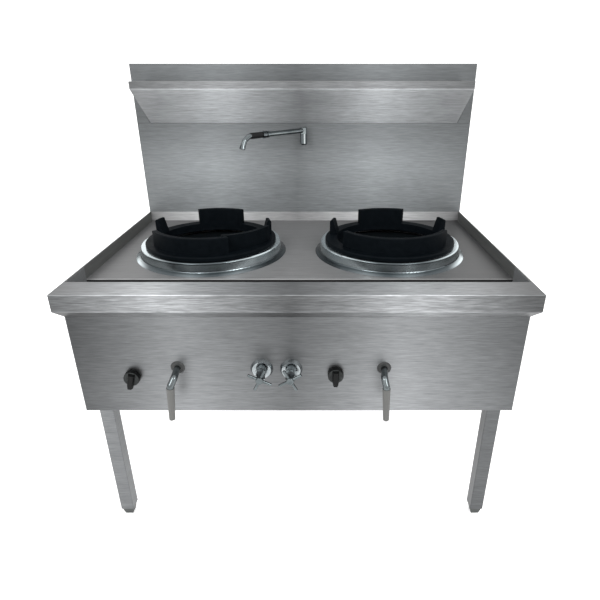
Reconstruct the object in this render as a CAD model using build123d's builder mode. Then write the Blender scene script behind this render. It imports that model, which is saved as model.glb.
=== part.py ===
from build123d import *
import os
from math import atan2, cos, degrees, hypot, radians, sin

os.makedirs("parts", exist_ok=True)

# ---------------------------------------------------------------- driving dimensions (mm)
# The range stands on z = 0. Lengths called DEPTH or SETBACK are measured back from the
# front edge of the worktop; FRONT_EDGE below turns them into the model's own frame.
WIDTH = 1200
BODY_DEPTH = 870
RIM_Z = 800                    # worktop rim above the floor
TOP_Z = 1318                   # top of the splashback
SHEET = 1.5                    # stainless sheet
BEND_R = 2.2                   # outside radius of a fold

SKIRT_H = 46                   # vertical apron under the rim
OVERHANG = 19                  # the apron stands this far outside the panels below it
RETURN_DROP = 21               # height of the slanted fold under the apron
PANEL_BOTTOM_Z = 447
PANEL_FOLD = 15                # flanges along the edges of the panels

STRIP_DEPTH = 83.5             # level strip in front of the gutter
GUTTER_WIDTH = 109.7           # mouth of the gutter, strip to deck edge
GUTTER_FLOOR_DROP = 82.5       # rim down to the gutter floor
DECK_DROP = 37                 # rim down to the deck
DECK_FOLD = 9                  # folded front edge of the deck, no lower than the apron
SIDE_RIM_T = 4                 # double-folded side rims

SPLASH_DEPTH = 70
SPLASH_SETBACK = BODY_DEPTH - SPLASH_DEPTH
REAR_RECESS = 3                # rear panel lies this far inside the casing's edges

SHELF_HALF_WIDTH = 553
SHELF_DEPTH = 166
SHELF_DROP = 54.5              # top of splashback down to the shelf
SHELF_LIP = 22
SHELF_ROOT_DROP = 193          # top of splashback down to the foot of the shelf's slope

LEG = 40                       # square tube
LEG_WALL = 2
LEG_INSET = 7                  # leg's outer face inside the panel's outer face
LEG_SETBACK = 70
RAIL = 40
FOOT_H = 27
FOOT_TOP_W = 35
FOOT_TIP_W = 23
FOOT_STUD_R = 6
FOOT_STUD_L = 40
INSERT_H = 26
BEARER_FRONT_W = 13
BEARER_REAR_W = 40

BURNER_X = (-289.5, 279)
BURNER_SETBACK = 443
COLLAR_FOOT_R = 236
COLLAR_TOP_R = 218.5
COLLAR_H = 35
COLLAR_FLARE_H = 7             # flared foot of the collar's wall
COLLAR_BORE_R = 190
COLLAR_T = 2.5
RING_FLANGE_R = 204
RING_MOUTH_R = 168
RING_WALL_R = 184
RING_FLANGE_T = 11
RING_H = 60.5                  # underside of the flange to the top of the walls
RING_EDGE_R = 2.5              # rounding of the casting's top edges
RING_SPIGOT_H = 14
RING_PLAY = 2                  # the loose ring's spigot in the collar
REAR_LUG_ANGLES = (89.1, 93.1)
REAR_LUG_HALF_ANGLE = 25.5
SIDE_LUG_ANGLES = ((14.5, 163), (18, 165))
SIDE_LUG_H = 46                # top of the flange to the top of a side lug
SIDE_LUG_L = 37
SIDE_LUG_BASE_T = 24
SIDE_LUG_TOP_T = 11
SIDE_LUG_R = 191               # outer face
WALL_ANGLES = ((212, 296.7), (213.8, 331))
SCROLL_ANGLES = (293, 351)     # second, scroll-shaped wall of the left ring
SCROLL_START_R = 155
SCROLL_END_R = 191
SCROLL_T = 14

PIT_R = 216
PIT_T = 3
PIT_STRAIGHT_H = 118
PIT_CONE_H = 80
PIT_THROAT_R = 110
PIT_FLANGE_W = 20
HEAD_R = 75
HEAD_H = 40
HEAD_LIFT = 44                 # hanger bar up to the burner head
MIX_TUBE_R = 24
MIX_TUBE_BORE_R = 20
MIX_TUBE_L = 208
MIX_TUBE_DROP = 37             # hanger bar down to the mixing tube's axis
SHOULDER_R = 34
PORT_R = 2
HANGER_W = 30
HANGER_T = 4
PILOT_OFFSET = 92
PILOT_R = 5
PILOT_H = 96

KNOB_SPOTS = ((-435.8, 559.2), (97.4, 567.7))
KNOB_TURN = (-14, 0)           # pointer away from straight down, clockwise negative
KNOB_R = 21
KNOB_T = 12
KNOB_GAP = 6                   # knob's back to the panel
KNOB_TRAVEL = 4
POINTER_W = 18
POINTER_TIP_W = 12.5
POINTER_H = 9
POINTER_REACH = 29
STEM_R = 4
STEM_L = 54
LEVER_SPOTS = ((-315.5, 585.2), (224.2, 583))
LEVER_R = 9
LEVER_CORE_R = 5.5             # bar inside the sleeve
LEVER_STRAIGHT = 8             # along the valve's axis before the bar leans aside
LEVER_OUT = (46, 60)           # panel to first and second bend
LEVER_DROP = (19.5, 120.5)      # axis down to second bend and to the tip
LEVER_LEAN = ((3, -6, -13), (-4.5, 0, 4.3))    # aside at both bends and at the tip
LEVER_BEND_R = 10
SLEEVE_START = 3.7             # second bend to the sleeve
SLEEVE_TOP_R = 10.2
SLEEVE_TIP_R = 7.8
SLEEVE_FLOOR = 4               # closed end of the sleeve
LEVER_SPINDLE_R = 6
LEVER_SPINDLE_L = 20
ESCUTCHEON_R = 18.8
ESCUTCHEON_T = 5
TAP_SPOTS = ((-96, 581.3), (-19, 580))
TAP_TURN = (-26, 29)
TAP_FLANGE_R = 29.5
TAP_FLANGE_T = 9
BONNET_R = 12.5
BONNET_L = 44                  # panel to the end of the bonnet
HANDLE_PLANE = 54              # panel to the middle of the cross handle
HANDLE_HUB_R = 10
HANDLE_REACH = 33
HANDLE_ARM_R = 4.2
TAP_SPINDLE_R = 5
TAP_BODY_R = 18
TAP_BODY_L = 42
TAP_BOSS_R = 11
TAP_BOSS_L = 40

VALVE_BLOCK = 36
VALVE_L = 70
LEVER_VALVE_W = 40
LEVER_VALVE_L = 55
MANIFOLD_R = 13.5
MANIFOLD_SETBACK = 80
MANIFOLD_Z = 520
MANIFOLD_END = (-455, 420)
FEED_STRAIGHT = 35             # feed pipe before and after its slanted run
GAS_PIPE_R = 6
SERVICE_INSET = 130            # back edge to where the gas and water pipes turn down
SERVICE_Z = 430
INJECTOR_R = 9
INJECTOR_L = 30
INJECTOR_GAP = 2
WATER_R = 7.5
MIXER_R = 9.5                  # bar that joins the two taps
WATER_SETBACK = 42
SUPPLY_Z = 480
MIXER_Z = 640
RISE_INSET = 35                # back edge to the pipe that rises to the spout

SPOUT_STANDOFF = 34            # splashback to the spout's upright
SPOUT_BASE_Z = 1053
SPOUT_JOINT_Z = 1092
SPOUT_TOP_Z = 1113
SPOUT_ARM_Z = 1103
SPOUT_BODY_R = 12
SPOUT_ARM_R = 8.6
SPOUT_SWING = 42               # arm away from straight out, to the left
ARM_NUT_START = 185
ARM_NUT_L = 15
GRIP_L = 49
GRIP_R = 9.6
GRIP_RIBS = 9
NOZZLE_R = 8.5
NOZZLE_BENDS = ((5, 0), (24, 11), (36, 35))    # bends and tip, along the arm and down
NOZZLE_SLOT = 3
SPOUT_PIN_R = 6
SPOUT_PIN_L = 18
STUB_R = 8
STUB_FLANGE_R = 11
STUB_END = 12                  # stub and water pipe meet this far behind the splashback's skin

OUTLET_INSET = 120             # right edge to the waste outlet
OUTLET_R = 22
OUTLET_LIP = 5
OUTLET_L = 75
STRAINER_DEPTH = 16

RUNNING_FIT = 0.05             # radial clearance of a shaft in its bore
FREE_GAP = 0.3                 # between pieces that pass each other
HOLE_GAP = 2                   # panel hole around what passes through it

# ---------------------------------------------------------------- worked-out places
PANEL_X = WIDTH / 2 - OVERHANG
INNER_X = PANEL_X - 2 * SHEET      # clear of the panels and of the slanted return
SLEEVE_REACH = LEVER_OUT[1] + SLEEVE_TOP_R
CONTROL_REACH = SLEEVE_REACH - OVERHANG
FRONT_EDGE = -(BODY_DEPTH - CONTROL_REACH) / 2
PANEL_Y = FRONT_EDGE + OVERHANG
BACK_Y = FRONT_EDGE + BODY_DEPTH
SPLASH_Y = FRONT_EDGE + SPLASH_SETBACK
REAR_Y = BACK_Y - REAR_RECESS
SKIRT_Z = RIM_Z - SKIRT_H
PANEL_TOP_Z = SKIRT_Z - RETURN_DROP
DECK_Z = RIM_Z - DECK_DROP
GUTTER_Y0 = FRONT_EDGE + STRIP_DEPTH
DECK_Y0 = GUTTER_Y0 + GUTTER_WIDTH
GUTTER_Z = RIM_Z - GUTTER_FLOOR_DROP
FRAME_TOP_Z = GUTTER_Z - SHEET
LEG_TOP_Z = FRAME_TOP_Z - RAIL
DECK_HALF = WIDTH / 2 - SIDE_RIM_T
RAIL_X = PANEL_X - SHEET - RAIL / 2
LEG_X = PANEL_X - LEG_INSET - LEG / 2
LEG_Y_FRONT = FRONT_EDGE + LEG_SETBACK + LEG / 2
LEG_Y_REAR = BACK_Y - (LEG_SETBACK - OVERHANG) - LEG / 2
LEG_SPOTS = {
    "front_left": (-LEG_X, LEG_Y_FRONT),
    "front_right": (LEG_X, LEG_Y_FRONT),
    "rear_left": (-LEG_X, LEG_Y_REAR),
    "rear_right": (LEG_X, LEG_Y_REAR),
}
SIDES = ("left", "right")
BURNER_Y = FRONT_EDGE + BURNER_SETBACK
RING_Z = DECK_Z + COLLAR_H
RING_TOP_Z = RING_Z + RING_H
DECK_HOLE_R = COLLAR_FOOT_R - 10
PIT_TOP_Z = DECK_Z - SHEET
THROAT_Z = PIT_TOP_Z - PIT_T - PIT_STRAIGHT_H - PIT_CONE_H
HANGER_Z = THROAT_Z - PIT_T
HEAD_Z = HANGER_Z + HEAD_LIFT
MIX_TUBE_Z = HANGER_Z - HANGER_T - MIX_TUBE_DROP
PANEL_BACK_Y = PANEL_Y + SHEET
MANIFOLD_Y = FRONT_EDGE + MANIFOLD_SETBACK
SERVICE_Y = BACK_Y - SERVICE_INSET
WATER_Y = FRONT_EDGE + WATER_SETBACK
RISE_Y = BACK_Y - RISE_INSET
SPOUT_Y = SPLASH_Y - SPOUT_STANDOFF
SHELF_Z = TOP_Z - SHELF_DROP
SHELF_ROOT_Z = TOP_Z - SHELF_ROOT_DROP
STUB_Z = SPOUT_BASE_Z + SPOUT_BODY_R
OUTLET_X = WIDTH / 2 - OUTLET_INSET
OUTLET_Y = (GUTTER_Y0 + DECK_Y0) / 2


def save(builder, name):
    builder.part.label = name
    export_step(builder.part, f"parts/{name}.step")


def folded_sheet(points, half_width, radius=BEND_R):
    """Sheet folded along a (y, z) path, to the right of its direction, running across the range."""
    with BuildSketch(Plane.YZ.offset(-half_width), mode=Mode.PRIVATE) as section:
        with BuildLine():
            FilletPolyline(*points, radius=radius)
            offset(amount=-SHEET, side=Side.RIGHT)
        make_face()
    extrude(section.sketch, amount=2 * half_width)


def block(x0, x1, y0, y1, z0, z1, mode=Mode.ADD):
    with BuildSketch(Plane.XY.offset(z0), mode=Mode.PRIVATE) as base:
        with Locations(((x0 + x1) / 2, (y0 + y1) / 2)):
            Rectangle(x1 - x0, y1 - y0)
    extrude(base.sketch, amount=z1 - z0, mode=mode)


def rod_z(x, y, z0, z1, radius, mode=Mode.ADD):
    with BuildSketch(Plane((x, y, z0)), mode=Mode.PRIVATE) as disc:
        Circle(radius)
    extrude(disc.sketch, amount=z1 - z0, mode=mode)


def rod_y(x, z, y0, y1, radius, mode=Mode.ADD):
    with BuildSketch(Plane((x, y0, z), x_dir=(1, 0, 0), z_dir=(0, 1, 0)), mode=Mode.PRIVATE) as disc:
        Circle(radius)
    extrude(disc.sketch, amount=y1 - y0, mode=mode)


def rod_x(y, z, x0, x1, radius, mode=Mode.ADD):
    with BuildSketch(Plane((x0, y, z), x_dir=(0, 1, 0), z_dir=(1, 0, 0)), mode=Mode.PRIVATE) as disc:
        Circle(radius)
    extrude(disc.sketch, amount=x1 - x0, mode=mode)


def bent_pipe(points, radius, bend):
    """Solid pipe along a bent route."""
    with BuildLine(mode=Mode.PRIVATE) as route:
        FilletPolyline(*points, radius=bend)
    start = route.line @ 0
    with BuildSketch(Plane(origin=start, z_dir=route.line % 0), mode=Mode.PRIVATE) as section:
        Circle(radius)
    sweep(section.sketch, path=route.line)


def turned_profile(plane, points, mode=Mode.ADD):
    """Ring turned about the plane's own y axis from (radius, height) points."""
    with BuildSketch(plane, mode=Mode.PRIVATE) as section:
        with BuildLine():
            Polyline(*points, close=True)
        make_face()
    revolve(section.sketch, axis=Axis(plane.origin, plane.y_dir), mode=mode)


def polar(radius, angle):
    return (radius * cos(radians(angle)), radius * sin(radians(angle)))


# ---------------------------------------------------------------- worktop
def slanted_return(region):
    """Slanted fold under the apron on three sides, kept where the region lies."""
    slope_t = SHEET * hypot(OVERHANG, RETURN_DROP) / RETURN_DROP
    far_y = BACK_Y + OVERHANG
    for inset, mode in ((0, Mode.ADD), (slope_t, Mode.SUBTRACT)):
        with BuildSketch(Plane.XY.offset(SKIRT_Z), mode=Mode.PRIVATE) as upper:
            with Locations((0, (FRONT_EDGE + far_y) / 2)):
                Rectangle(WIDTH - 2 * inset, far_y - FRONT_EDGE - 2 * inset)
        with BuildSketch(Plane.XY.offset(PANEL_TOP_Z), mode=Mode.PRIVATE) as lower:
            with Locations((0, (FRONT_EDGE + far_y) / 2)):
                Rectangle(WIDTH - 2 * (OVERHANG + inset), far_y - FRONT_EDGE - 2 * (OVERHANG + inset))
        loft([upper.sketch, lower.sketch], ruled=True, mode=mode)
    with BuildSketch(Plane.XY.offset(PANEL_TOP_Z), mode=Mode.PRIVATE) as kept:
        for points in region:
            with BuildLine():
                Polyline(*points, close=True)
            make_face()
    extrude(kept.sketch, amount=RETURN_DROP, mode=Mode.INTERSECT)


MITRE = OVERHANG + 4 * SHEET
HALF = WIDTH / 2

with BuildPart() as front_fascia:
    # level strip, apron and slanted return, with mitred lower corners
    slanted_return([[
        (-HALF, FRONT_EDGE), (HALF, FRONT_EDGE),
        (HALF - MITRE, FRONT_EDGE + MITRE), (-HALF + MITRE, FRONT_EDGE + MITRE),
    ]])
    folded_sheet([(GUTTER_Y0, RIM_Z), (FRONT_EDGE, RIM_Z), (FRONT_EDGE, SKIRT_Z)][::-1], HALF)
    for x in (-HALF, HALF - SHEET):
        block(x, x + SHEET, FRONT_EDGE + BEND_R, GUTTER_Y0, SKIRT_Z, RIM_Z - SHEET / 2)
save(front_fascia, "front_fascia")

with BuildPart() as gutter_trough:
    # trough with a step at each end that clears the slanted return below the rims
    wall_y0, wall_y1 = GUTTER_Y0 - SHEET, DECK_Y0 + 2 * SHEET
    block(-DECK_HALF, DECK_HALF, wall_y0, wall_y1, SKIRT_Z, RIM_Z - SHEET)
    block(-INNER_X, INNER_X, wall_y0, wall_y1, GUTTER_Z - SHEET, SKIRT_Z)
    block(-DECK_HALF + SHEET, DECK_HALF - SHEET, GUTTER_Y0, DECK_Y0 + SHEET,
          SKIRT_Z + SHEET, RIM_Z, mode=Mode.SUBTRACT)
    block(-INNER_X + SHEET, INNER_X - SHEET, GUTTER_Y0, DECK_Y0 + SHEET, GUTTER_Z, RIM_Z, mode=Mode.SUBTRACT)
    # the wall under the deck stops at its underside, behind the deck's folded edge
    block(-HALF, HALF, DECK_Y0, wall_y1, DECK_Z - BEND_R, RIM_Z, mode=Mode.SUBTRACT)
    block(-HALF, HALF, DECK_Y0, DECK_Y0 + SHEET, DECK_Z - DECK_FOLD, RIM_Z, mode=Mode.SUBTRACT)
    rod_z(OUTLET_X, OUTLET_Y, GUTTER_Z - SHEET, GUTTER_Z, OUTLET_R, mode=Mode.SUBTRACT)
save(gutter_trough, "gutter_trough")

with BuildPart() as deck_plate:
    # folded front edge, two burner openings and the upstand against the splashback
    folded_sheet([
        (DECK_Y0, DECK_Z - DECK_FOLD), (DECK_Y0, DECK_Z), (SPLASH_Y, DECK_Z), (SPLASH_Y, RIM_Z),
    ], DECK_HALF)
    for x in BURNER_X:
        rod_z(x, BURNER_Y, DECK_Z - SHEET, DECK_Z, DECK_HOLE_R, mode=Mode.SUBTRACT)
save(deck_plate, "deck_plate")

with BuildPart() as side_rims:
    # double-folded rims: inner skin down to the deck, outer skin down to the slanted return
    slanted_return([
        [(s * HALF, FRONT_EDGE), (s * HALF, BACK_Y),
         (s * (HALF - MITRE), BACK_Y), (s * (HALF - MITRE), FRONT_EDGE + MITRE)]
        for s in (-1, 1)
    ])
    for s in (-1, 1):
        edges_x = sorted((s * HALF, s * (HALF - SHEET)))
        inner_x = sorted((s * DECK_HALF, s * (DECK_HALF + SHEET)))
        top_x = sorted((s * HALF, s * DECK_HALF))
        block(*edges_x, GUTTER_Y0, BACK_Y, SKIRT_Z, RIM_Z)
        block(*inner_x, GUTTER_Y0, SPLASH_Y + SHEET, DECK_Z - DECK_FOLD, RIM_Z)
        block(*top_x, GUTTER_Y0, BACK_Y, RIM_Z - SHEET, RIM_Z)
save(side_rims, "side_rims")

# ---------------------------------------------------------------- panels
SCREW_R = 2.5
SCREW_HEAD_R = 4.5
SCREW_HEAD_T = 2.5
SCREW_L = 9
UPPER_SCREW_ROWS = 3
LOWER_SCREW_ROWS = 2
TOP_SCREWS = 4
UPPER_X = HALF - SHEET - PANEL_FOLD / 2
LOWER_X = PANEL_X - SHEET - PANEL_FOLD / 2
TOP_SCREW_X = (TOP_SCREWS - 1) / 2 * WIDTH / (TOP_SCREWS + 1)


def evenly(first, last, count):
    return [first + i * (last - first) / (count - 1) for i in range(count)]


UPPER_ROWS = evenly(RIM_Z + PANEL_FOLD, TOP_Z - 3 * PANEL_FOLD, UPPER_SCREW_ROWS)
LOWER_ROWS = evenly(PANEL_BOTTOM_Z + 2 * PANEL_FOLD, PANEL_TOP_Z - 2 * PANEL_FOLD, LOWER_SCREW_ROWS)
TOP_ROW = evenly(-TOP_SCREW_X, TOP_SCREW_X, TOP_SCREWS)
SCREW_SPOTS = (
    [(s * UPPER_X, z) for s in (-1, 1) for z in UPPER_ROWS]
    + [(s * LOWER_X, z) for s in (-1, 1) for z in LOWER_ROWS]
    + [(x, TOP_Z - SHEET - PANEL_FOLD / 2) for x in TOP_ROW]
)

with BuildPart() as front_panel:
    folded_sheet([
        (PANEL_Y + PANEL_FOLD, PANEL_BOTTOM_Z), (PANEL_Y, PANEL_BOTTOM_Z),
        (PANEL_Y, PANEL_TOP_Z), (PANEL_Y + PANEL_FOLD, PANEL_TOP_Z),
    ], PANEL_X - SHEET, radius=SHEET + 0.2)
    for spots, radius in (
        (KNOB_SPOTS, STEM_R + HOLE_GAP),
        (LEVER_SPOTS, LEVER_R + HOLE_GAP),
        (TAP_SPOTS, BONNET_R + HOLE_GAP),
    ):
        for x, z in spots:
            rod_y(x, z, PANEL_Y, PANEL_BACK_Y, radius, mode=Mode.SUBTRACT)
save(front_panel, "front_panel")

for side, s in zip(SIDES, (-1, 1)):
    with BuildPart() as side_panel:
        outer = sorted((s * PANEL_X, s * (PANEL_X - SHEET)))
        fold = sorted((s * PANEL_X, s * (PANEL_X - SHEET - PANEL_FOLD)))
        lower_fold = sorted((s * PANEL_X, s * (PANEL_X - LEG_INSET + FREE_GAP)))
        block(*outer, PANEL_Y, BACK_Y, PANEL_BOTTOM_Z, PANEL_TOP_Z)
        block(*lower_fold, PANEL_Y + PANEL_FOLD, REAR_Y - SHEET, PANEL_BOTTOM_Z, PANEL_BOTTOM_Z + SHEET)
        block(*fold, REAR_Y - 2 * SHEET, REAR_Y - SHEET, PANEL_BOTTOM_Z, PANEL_TOP_Z)
        for z in LOWER_ROWS:
            rod_y(s * LOWER_X, z, REAR_Y - 2 * SHEET, REAR_Y - SHEET, SCREW_R + FREE_GAP, mode=Mode.SUBTRACT)
    save(side_panel, f"side_panel_{side}")

with BuildPart() as rear_panel:
    with BuildSketch(Plane.XZ.offset(-REAR_Y)):
        with BuildLine():
            Polyline(
                (-INNER_X, PANEL_BOTTOM_Z), (INNER_X, PANEL_BOTTOM_Z), (INNER_X, RIM_Z),
                (HALF - SHEET, RIM_Z), (HALF - SHEET, TOP_Z - SHEET),
                (-HALF + SHEET, TOP_Z - SHEET), (-HALF + SHEET, RIM_Z), (-INNER_X, RIM_Z),
                close=True,
            )
        make_face()
    extrude(amount=SHEET)
    for x, z in SCREW_SPOTS:
        rod_y(x, z, REAR_Y - SHEET, REAR_Y, SCREW_R + FREE_GAP, mode=Mode.SUBTRACT)
save(rear_panel, "rear_panel")

with BuildPart() as rear_panel_screws:
    for x, z in SCREW_SPOTS:
        rod_y(x, z, REAR_Y - SCREW_L, REAR_Y, SCREW_R)
        rod_y(x, z, REAR_Y, REAR_Y + SCREW_HEAD_T, SCREW_HEAD_R)
    fillet(rear_panel_screws.edges().group_by(Axis.Y)[-1], 1)
save(rear_panel_screws, "rear_panel_screws")

# ---------------------------------------------------------------- splashback and shelf
with BuildPart() as splash_front:
    block(-HALF, HALF, SPLASH_Y, SPLASH_Y + SHEET, RIM_Z, TOP_Z)
    rod_y(0, STUB_Z, SPLASH_Y, SPLASH_Y + SHEET, STUB_R + FREE_GAP, mode=Mode.SUBTRACT)
save(splash_front, "splash_front")

with BuildPart() as splash_casing:
    # sides and top of the hollow splashback, folded in at the back
    CASING_Y0 = SPLASH_Y + SHEET
    FOLD_Y0 = REAR_Y - 2 * SHEET
    FOLD_Y1 = REAR_Y - SHEET
    block(-HALF, HALF, CASING_Y0, BACK_Y, RIM_Z, TOP_Z)
    block(-HALF + SHEET, HALF - SHEET, CASING_Y0, FOLD_Y0, RIM_Z, TOP_Z - SHEET, mode=Mode.SUBTRACT)
    block(-HALF + SHEET, HALF - SHEET, FOLD_Y1, BACK_Y, RIM_Z, TOP_Z - SHEET, mode=Mode.SUBTRACT)
    inner_x = HALF - SHEET - PANEL_FOLD
    block(-inner_x, inner_x, FOLD_Y0, FOLD_Y1, RIM_Z, TOP_Z - SHEET - PANEL_FOLD, mode=Mode.SUBTRACT)
    for x, z in SCREW_SPOTS:
        if z > RIM_Z:
            rod_y(x, z, FOLD_Y0, FOLD_Y1, SCREW_R + FREE_GAP, mode=Mode.SUBTRACT)
save(splash_casing, "splash_casing")

SHELF_Y = SPLASH_Y - SHELF_DEPTH
shelf_outline = [
    (SPLASH_Y, SHELF_Z), (SHELF_Y, SHELF_Z), (SHELF_Y, SHELF_Z - SHELF_LIP), (SPLASH_Y, SHELF_ROOT_Z),
]

with BuildPart() as pot_shelf:
    # level top, front lip and slanted underside in one folded sheet
    slope = (shelf_outline[3][1] - shelf_outline[2][1]) / SHELF_DEPTH
    past = 2 * SHEET
    folded_sheet([
        (SPLASH_Y + past, SHELF_ROOT_Z + slope * past), shelf_outline[2], shelf_outline[1],
        (SPLASH_Y + past, SHELF_Z),
    ], SHELF_HALF_WIDTH - SHEET)
    block(-HALF, HALF, SPLASH_Y, SPLASH_Y + 4 * SHEET, SHELF_ROOT_Z - SHELF_DEPTH, TOP_Z, mode=Mode.SUBTRACT)
save(pot_shelf, "pot_shelf")

with BuildPart() as shelf_ends:
    for x in (-SHELF_HALF_WIDTH, SHELF_HALF_WIDTH - SHEET):
        with BuildSketch(Plane.YZ.offset(x)) as end_outline:
            with BuildLine():
                Polyline(*shelf_outline, close=True)
            make_face()
        extrude(end_outline.sketch, amount=SHEET)
save(shelf_ends, "shelf_ends")

# ---------------------------------------------------------------- frame, legs and feet
with BuildPart() as side_rails:
    for s in (-1, 1):
        x0, x1 = s * RAIL_X - RAIL / 2, s * RAIL_X + RAIL / 2
        block(x0, x1, PANEL_BACK_Y, REAR_Y - 2 * SHEET, LEG_TOP_Z, FRAME_TOP_Z)
        block(x0 + LEG_WALL, x1 - LEG_WALL, PANEL_BACK_Y, REAR_Y,
              LEG_TOP_Z + LEG_WALL, FRAME_TOP_Z - LEG_WALL, mode=Mode.SUBTRACT)
save(side_rails, "side_rails")

with BuildPart() as cross_rails:
    cross_half = RAIL_X - RAIL / 2
    for y in (LEG_Y_FRONT, LEG_Y_REAR):
        block(-cross_half, cross_half, y - RAIL / 2, y + RAIL / 2, LEG_TOP_Z, FRAME_TOP_Z)
        block(-cross_half, cross_half, y - RAIL / 2 + LEG_WALL, y + RAIL / 2 - LEG_WALL,
              LEG_TOP_Z + LEG_WALL, FRAME_TOP_Z - LEG_WALL, mode=Mode.SUBTRACT)
save(cross_rails, "cross_rails")

with BuildPart() as deck_bearers:
    front_y0 = DECK_Y0 + 2 * SHEET
    rear_y0 = BURNER_Y + COLLAR_FOOT_R + HOLE_GAP
    for y0, width in ((front_y0, BEARER_FRONT_W), (rear_y0, BEARER_REAR_W)):
        block(-INNER_X, INNER_X, y0, y0 + width, FRAME_TOP_Z, DECK_Z - SHEET)
        block(-INNER_X, INNER_X, y0 + LEG_WALL, y0 + width - LEG_WALL,
              FRAME_TOP_Z + LEG_WALL, DECK_Z - SHEET - LEG_WALL, mode=Mode.SUBTRACT)
save(deck_bearers, "deck_bearers")

for spot, (x, y) in LEG_SPOTS.items():
    with BuildPart() as leg:
        block(x - LEG / 2, x + LEG / 2, y - LEG / 2, y + LEG / 2, FOOT_H, LEG_TOP_Z)
        fillet(leg.edges().filter_by(Axis.Z), 3)
        inner = LEG / 2 - LEG_WALL
        block(x - inner, x + inner, y - inner, y + inner, FOOT_H, LEG_TOP_Z, mode=Mode.SUBTRACT)
    save(leg, f"leg_{spot}")

with BuildPart() as leg_inserts:
    inner = LEG / 2 - LEG_WALL
    for x, y in LEG_SPOTS.values():
        block(x - inner, x + inner, y - inner, y + inner, FOOT_H, FOOT_H + INSERT_H)
        rod_z(x, y, FOOT_H, FOOT_H + INSERT_H, FOOT_STUD_R + RUNNING_FIT, mode=Mode.SUBTRACT)
save(leg_inserts, "leg_inserts")

for spot, (x, y) in LEG_SPOTS.items():
    with BuildPart() as foot:
        # square foot, narrower at the floor, on its threaded stud
        top = FOOT_H - FREE_GAP
        with BuildSketch(Plane((x, y, top), x_dir=(1, 0, 0), z_dir=(0, 0, -1)), mode=Mode.PRIVATE) as pad:
            Rectangle(FOOT_TOP_W, FOOT_TOP_W)
        extrude(pad.sketch, amount=top, taper=degrees(atan2((FOOT_TOP_W - FOOT_TIP_W) / 2, top)))
        rod_z(x, y, top, top + FOOT_STUD_L, FOOT_STUD_R)
    save(foot, f"foot_{spot}")

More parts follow.
